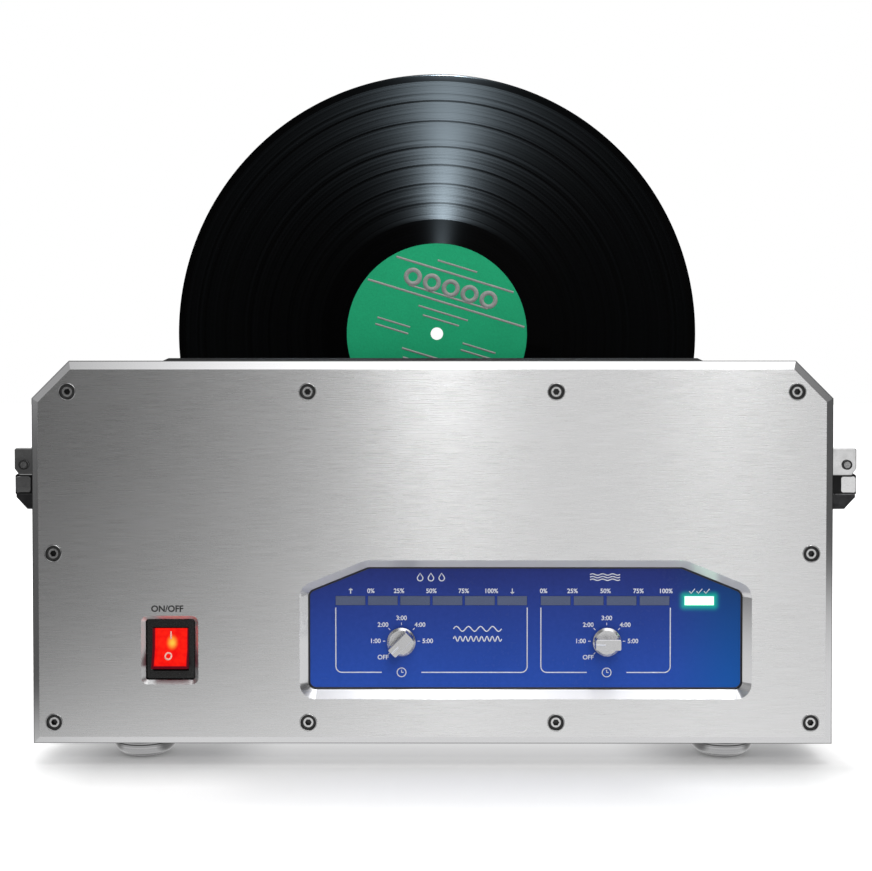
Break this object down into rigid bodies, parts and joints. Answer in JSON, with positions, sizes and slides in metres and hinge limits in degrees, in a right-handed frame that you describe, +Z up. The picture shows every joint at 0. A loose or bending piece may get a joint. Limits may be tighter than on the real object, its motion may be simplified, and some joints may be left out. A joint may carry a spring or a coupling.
{
  "type": "record cleaning machine",
  "caption": "Desktop ultrasonic record cleaner with a brushed front, display, knobs, folding side handles and a record in its top slot.",
  "frame": {"origin": "middle of the base on the table", "axes": "+Z up, -Y is the front with the display, +X to the right seen from the front"},
  "size_m": [0.4724, 0.2148, 0.3761],
  "materials": {
    "front_metal": "horizontally brushed, clear anodised",
    "case_metal": "satin anodised sheet",
    "frame_metal": "machined",
    "rim_black": "moulded satin black",
    "screw_steel": "turned stainless steel",
    "foot_metal": "turned and polished",
    "pad_rubber": "matte",
    "panel_blue": "smooth blue acrylic",
    "bar_unlit": "frosted, unlit",
    "bar_lit": "frosted, lit green",
    "board_green": "solder mask",
    "inner_black": "moulded",
    "knob_metal": "turned and polished",
    "switch_black": "moulded satin black",
    "rocker_red": "clear red, lit from behind",
    "handle_metal": "polished cast steel",
    "pin_steel": "turned",
    "tank_steel": "welded stainless sheet",
    "transducer_metal": "machined",
    "vinyl": "pressed and grooved, black",
    "label_green": "printed paper",
    "roller_plastic": "turned acetal",
    "tyre_rubber": "matte",
    "bearing_brass": "turned",
    "motor_metal": "satin",
    "duct_plastic": "moulded",
    "tank_plastic": "natural polyethylene",
    "hose_clear": "silicone tube"
  },
  "bodies": {
    "case": {"front_plate": "front_metal", "front_frame": "frame_metal", "rear_plate": "case_metal", "rear_frame": "frame_metal", "chassis_tray": "case_metal", "top_cover": "case_metal", "slot_bezel": "rim_black", "front_screws": "screw_steel", "case_screws": "screw_steel", "foot_front_left": "foot_metal", "foot_front_right": "foot_metal", "foot_rear_left": "foot_metal", "foot_rear_right": "foot_metal", "foot_pads": "pad_rubber", "display_panel": "panel_blue", "indicator_bars": "bar_unlit", "completed_bar": "bar_lit", "display_board": "board_green", "rotary_switches": "inner_black", "power_switch_housing": "switch_black", "handle_bracket_left": "handle_metal", "handle_bracket_right": "handle_metal", "handle_pins": "pin_steel", "wash_tank": "tank_steel", "tank_supports": "tank_steel", "transducers": "transducer_metal", "shaft_bearings": "bearing_brass", "drive_belt": "tyre_rubber", "motor_bracket": "frame_metal", "drive_motor": "motor_metal", "air_knives": "frame_metal", "air_ducts": "duct_plastic", "blower_left": "inner_black", "blower_right": "inner_black", "reservoir": "tank_plastic", "pump": "inner_black", "water_filter": "tank_plastic", "drain_valve": "bearing_brass", "water_hoses": "hose_clear", "mains_inlet": "switch_black", "power_supply": "motor_metal", "circuit_boards": "board_green"},
    "power_rocker": {"power_rocker": "rocker_red"},
    "washing_knob": {"washing_knob": "knob_metal"},
    "drying_knob": {"drying_knob": "knob_metal"},
    "handle_left": {"handle_left": "handle_metal"},
    "handle_right": {"handle_right": "handle_metal"},
    "record": {"record": "vinyl", "record_label": "label_green"},
    "roller_left": {"roller_left": "roller_plastic", "roller_tyre_left": "tyre_rubber", "roller_pulley_left": "inner_black"},
    "roller_right": {"roller_right": "roller_plastic", "roller_tyre_right": "tyre_rubber", "roller_pulley_right": "inner_black"},
    "motor_pulley": {"motor_pulley": "bearing_brass"},
    "impeller_left": {"impeller_left": "duct_plastic"},
    "impeller_right": {"impeller_right": "duct_plastic"}
  },
  "joints": [
    {"name": "power_rocker", "type": "hinge", "parent": "case", "child": "power_rocker", "pos_m": [-0.1355, -0.0955, 0.06], "axis": [1, 0, 0], "range_deg": [0, 22]},
    {"name": "washing_knob", "type": "hinge", "parent": "case", "child": "washing_knob", "pos_m": [-0.016, -0.1, 0.0638], "axis": [0, 1, 0], "range_deg": [0, 225]},
    {"name": "drying_knob", "type": "hinge", "parent": "case", "child": "drying_knob", "pos_m": [0.0906, -0.1, 0.0638], "axis": [0, 1, 0], "range_deg": [-45, 180]},
    {"name": "handle_left", "type": "hinge", "parent": "case", "child": "handle_left", "pos_m": [-0.2292, 0, 0.1516], "axis": [0, 1, 0], "range_deg": [0, 90]},
    {"name": "handle_right", "type": "hinge", "parent": "case", "child": "handle_right", "pos_m": [0.2292, 0, 0.1516], "axis": [0, -1, 0], "range_deg": [0, 90]},
    {"name": "record_spin", "type": "hinge", "parent": "case", "child": "record", "pos_m": [0, 0, 0.22529], "axis": [0, 1, 0], "continuous": true},
    {"name": "roller_left_spin", "type": "hinge", "parent": "case", "child": "roller_left", "pos_m": [-0.1016, 0, 0.09515], "axis": [0, 1, 0], "continuous": true},
    {"name": "roller_right_spin", "type": "hinge", "parent": "case", "child": "roller_right", "pos_m": [0.1016, 0, 0.09515], "axis": [0, 1, 0], "continuous": true},
    {"name": "motor_spin", "type": "hinge", "parent": "case", "child": "motor_pulley", "pos_m": [0, 0.034, 0.048], "axis": [0, 1, 0], "continuous": true},
    {"name": "impeller_left_spin", "type": "hinge", "parent": "case", "child": "impeller_left", "pos_m": [-0.1763, 0.045, 0.1404], "axis": [1, 0, 0], "continuous": true},
    {"name": "impeller_right_spin", "type": "hinge", "parent": "case", "child": "impeller_right", "pos_m": [0.1763, 0.045, 0.1404], "axis": [1, 0, 0], "continuous": true}
  ],
  "couplings": [
    {"joint": "roller_left_spin", "follows": "record_spin", "ratio": -10.771},
    {"joint": "roller_right_spin", "follows": "record_spin", "ratio": -10.771},
    {"joint": "motor_spin", "follows": "record_spin", "ratio": -15.559}
  ]
}
